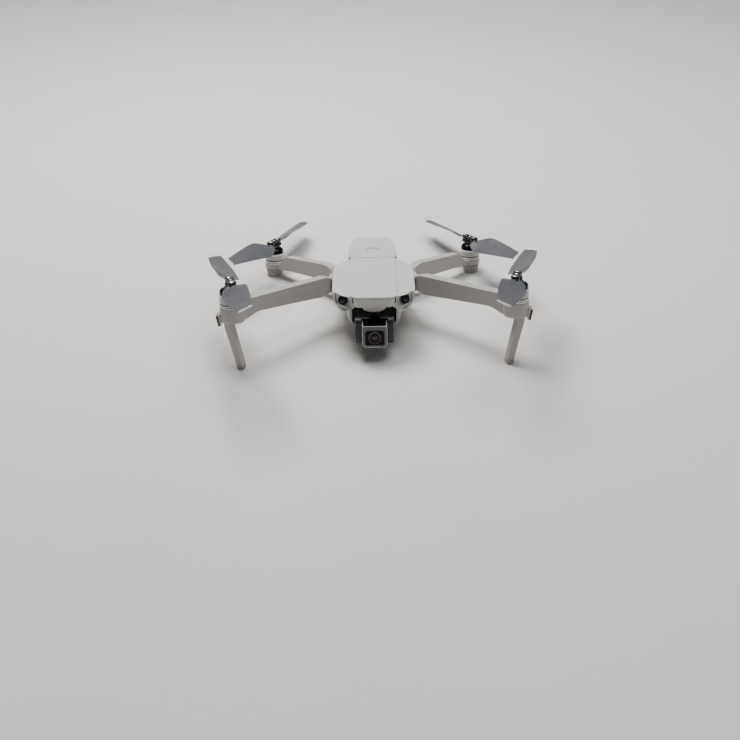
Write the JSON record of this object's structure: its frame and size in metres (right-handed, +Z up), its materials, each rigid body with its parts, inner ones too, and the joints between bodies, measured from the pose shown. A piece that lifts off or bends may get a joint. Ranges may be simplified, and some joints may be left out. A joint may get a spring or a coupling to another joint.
{
  "type": "folding quadcopter camera drone",
  "caption": "Folding quadcopter drone with hinged arms, folding propellers, long front legs, a slide-out battery and a three-axis gimbal camera under the nose.",
  "frame": {"origin": "centre of the bounding box on the ground plane", "axes": "-Y is where the nose and camera point, +X is to the right of a viewer facing the nose, +Z is up from the ground; the aircraft stands nose-up, its own axes turned 10.7 degrees about X"},
  "size_m": [0.3124, 0.3628, 0.0967],
  "materials": {
    "arm": "satin moulded grey",
    "blade": "satin grey",
    "board": "green solder mask",
    "cells": "blue wrapped cells",
    "dark": "satin black",
    "glass": "polished black window",
    "light": "dark red tinted window",
    "metal": "satin machined",
    "rubber": "soft dark grey",
    "shell": "fine satin moulded grey"
  },
  "bodies": {
    "airframe": {"top_shell": "shell", "bottom_shell": "shell", "front_fascia": "shell", "front_sensor_left": "glass", "front_sensor_right": "glass", "rear_sensor_left": "glass", "rear_sensor_right": "glass", "main_board": "board", "heat_sink": "metal", "downward_sensor": "glass", "landing_light": "glass", "front_hinge_pin_left": "metal", "front_hinge_pin_right": "metal", "rear_hinge_pin_left": "metal", "rear_hinge_pin_right": "metal", "gimbal_mount": "shell"},
    "battery": {"battery_case": "shell", "battery_cells": "cells"},
    "power_button": {"power_button": "shell"},
    "battery_latch_left": {"battery_latch_left": "dark"},
    "battery_latch_right": {"battery_latch_right": "dark"},
    "fan": {"fan_rotor": "dark"},
    "gimbal_yaw_frame": {"gimbal_yaw_arm": "dark", "gimbal_roll_motor": "dark"},
    "gimbal_roll_frame": {"gimbal_yoke": "dark", "gimbal_pitch_motor": "dark"},
    "camera": {"camera_housing": "dark", "camera_bezel": "dark", "camera_glass": "glass", "camera_lens": "dark"},
    "front_arm_left": {"front_arm_left": "arm", "front_leg_left": "arm", "front_light_left": "light", "motor_stator_front_left": "metal"},
    "rear_arm_left": {"rear_arm_left": "arm", "rear_foot_left": "rubber", "motor_stator_rear_left": "metal"},
    "front_arm_right": {"front_arm_right": "arm", "front_leg_right": "arm", "front_light_right": "light", "motor_stator_front_right": "metal"},
    "rear_arm_right": {"rear_arm_right": "arm", "rear_foot_right": "rubber", "motor_stator_rear_right": "metal"},
    "rotor_front_left": {"motor_bell_front_left": "metal", "propeller_hub_front_left": "dark"},
    "blade_front_left_a": {"blade_front_left_a": "blade"},
    "blade_front_left_b": {"blade_front_left_b": "blade"},
    "rotor_front_right": {"motor_bell_front_right": "metal", "propeller_hub_front_right": "dark"},
    "blade_front_right_a": {"blade_front_right_a": "blade"},
    "blade_front_right_b": {"blade_front_right_b": "blade"},
    "rotor_rear_left": {"motor_bell_rear_left": "metal", "propeller_hub_rear_left": "dark"},
    "blade_rear_left_a": {"blade_rear_left_a": "blade"},
    "blade_rear_left_b": {"blade_rear_left_b": "blade"},
    "rotor_rear_right": {"motor_bell_rear_right": "metal", "propeller_hub_rear_right": "dark"},
    "blade_rear_right_a": {"blade_rear_right_a": "blade"},
    "blade_rear_right_b": {"blade_rear_right_b": "blade"}
  },
  "joints": [
    {"name": "battery_slide", "type": "slide", "parent": "airframe", "child": "battery", "axis": [0, 0.9826, -0.1856], "range_m": [0, 0.075]},
    {"name": "power_button_press", "type": "slide", "parent": "battery", "child": "power_button", "axis": [0, -0.1856, -0.9826], "range_m": [0, 0.001], "stiffness_N_per_m": 800, "springref_m": -0.0008},
    {"name": "battery_latch_left_press", "type": "slide", "parent": "battery", "child": "battery_latch_left", "axis": [1, 0, 0], "range_m": [0, 0.0015], "stiffness_N_per_m": 1200, "springref_m": -0.0008},
    {"name": "battery_latch_right_press", "type": "slide", "parent": "battery", "child": "battery_latch_right", "axis": [-1, 0, 0], "range_m": [0, 0.0015], "stiffness_N_per_m": 1200, "springref_m": -0.0008},
    {"name": "fan_spin", "type": "hinge", "parent": "airframe", "child": "fan", "pos_m": [0, -0.00034, 0.0315], "axis": [0, 0.1856, 0.9826], "continuous": true},
    {"name": "gimbal_yaw", "type": "hinge", "parent": "airframe", "child": "gimbal_yaw_frame", "pos_m": [0, -0.06944, 0.03743], "axis": [0, 0.1856, 0.9826], "range_deg": [-25, 25]},
    {"name": "gimbal_roll", "type": "hinge", "parent": "gimbal_yaw_frame", "child": "gimbal_roll_frame", "pos_m": [0, -0.06651, 0.02059], "axis": [0, 0.9826, -0.1856], "range_deg": [-40, 40]},
    {"name": "gimbal_pitch", "type": "hinge", "parent": "gimbal_roll_frame", "child": "camera", "pos_m": [0, -0.08595, 0.02274], "axis": [-1, 0, 0], "range_deg": [-90, 24]},
    {"name": "front_arm_left_fold", "type": "hinge", "parent": "airframe", "child": "front_arm_left", "pos_m": [-0.036, -0.00034, 0.0315], "axis": [0, -0.1856, -0.9826], "range_deg": [0, 134]},
    {"name": "rear_arm_left_fold", "type": "hinge", "parent": "airframe", "child": "rear_arm_left", "pos_m": [-0.036, 0.02654, 0.01217], "axis": [-0.9228, -0.3786, 0.0715], "range_deg": [0, 180]},
    {"name": "front_arm_right_fold", "type": "hinge", "parent": "airframe", "child": "front_arm_right", "pos_m": [0.036, -0.00034, 0.0315], "axis": [0, 0.1856, 0.9826], "range_deg": [0, 134]},
    {"name": "rear_arm_right_fold", "type": "hinge", "parent": "airframe", "child": "rear_arm_right", "pos_m": [0.036, 0.02654, 0.01217], "axis": [-0.9228, 0.3786, -0.0715], "range_deg": [0, 180]},
    {"name": "motor_front_left_spin", "type": "hinge", "parent": "front_arm_left", "child": "rotor_front_left", "pos_m": [-0.1265, -0.09025, 0.06731], "axis": [0, 0.1856, 0.9826], "continuous": true},
    {"name": "blade_front_left_a_fold", "type": "hinge", "parent": "rotor_front_left", "child": "blade_front_left_a", "pos_m": [-0.12847, -0.08147, 0.07481], "axis": [0, 0.1856, 0.9826], "range_deg": [-75, 75]},
    {"name": "blade_front_left_b_fold", "type": "hinge", "parent": "rotor_front_left", "child": "blade_front_left_b", "pos_m": [-0.12453, -0.09569, 0.0775], "axis": [0, -0.1856, -0.9826], "range_deg": [-75, 75]},
    {"name": "motor_front_right_spin", "type": "hinge", "parent": "front_arm_right", "child": "rotor_front_right", "pos_m": [0.1265, -0.09025, 0.06731], "axis": [0, 0.1856, 0.9826], "continuous": true},
    {"name": "blade_front_right_a_fold", "type": "hinge", "parent": "rotor_front_right", "child": "blade_front_right_a", "pos_m": [0.12847, -0.08147, 0.07481], "axis": [0, 0.1856, 0.9826], "range_deg": [-75, 75]},
    {"name": "blade_front_right_b_fold", "type": "hinge", "parent": "rotor_front_right", "child": "blade_front_right_b", "pos_m": [0.12453, -0.09569, 0.0775], "axis": [0, -0.1856, -0.9826], "range_deg": [-75, 75]},
    {"name": "motor_rear_left_spin", "type": "hinge", "parent": "rear_arm_left", "child": "rotor_rear_left", "pos_m": [-0.1013, 0.08777, 0.02167], "axis": [0, 0.1856, 0.9826], "continuous": true},
    {"name": "blade_rear_left_a_fold", "type": "hinge", "parent": "rotor_rear_left", "child": "blade_rear_left_a", "pos_m": [-0.09843, 0.09625, 0.02923], "axis": [0, 0.1856, 0.9826], "range_deg": [-75, 75]},
    {"name": "blade_rear_left_b_fold", "type": "hinge", "parent": "rotor_rear_left", "child": "blade_rear_left_b", "pos_m": [-0.10417, 0.08263, 0.0318], "axis": [0, -0.1856, -0.9826], "range_deg": [-75, 75]},
    {"name": "motor_rear_right_spin", "type": "hinge", "parent": "rear_arm_right", "child": "rotor_rear_right", "pos_m": [0.1013, 0.08777, 0.02167], "axis": [0, 0.1856, 0.9826], "continuous": true},
    {"name": "blade_rear_right_a_fold", "type": "hinge", "parent": "rotor_rear_right", "child": "blade_rear_right_a", "pos_m": [0.09784, 0.09598, 0.02928], "axis": [0, 0.1856, 0.9826], "range_deg": [-75, 75]},
    {"name": "blade_rear_right_b_fold", "type": "hinge", "parent": "rotor_rear_right", "child": "blade_rear_right_b", "pos_m": [0.10476, 0.0829, 0.03175], "axis": [0, -0.1856, -0.9826], "range_deg": [-75, 75]}
  ],
  "couplings": [
    {"joint": "rear_arm_left_fold", "follows": "front_arm_left_fold", "ratio": 1.343},
    {"joint": "rear_arm_right_fold", "follows": "front_arm_right_fold", "ratio": 1.343}
  ]
}
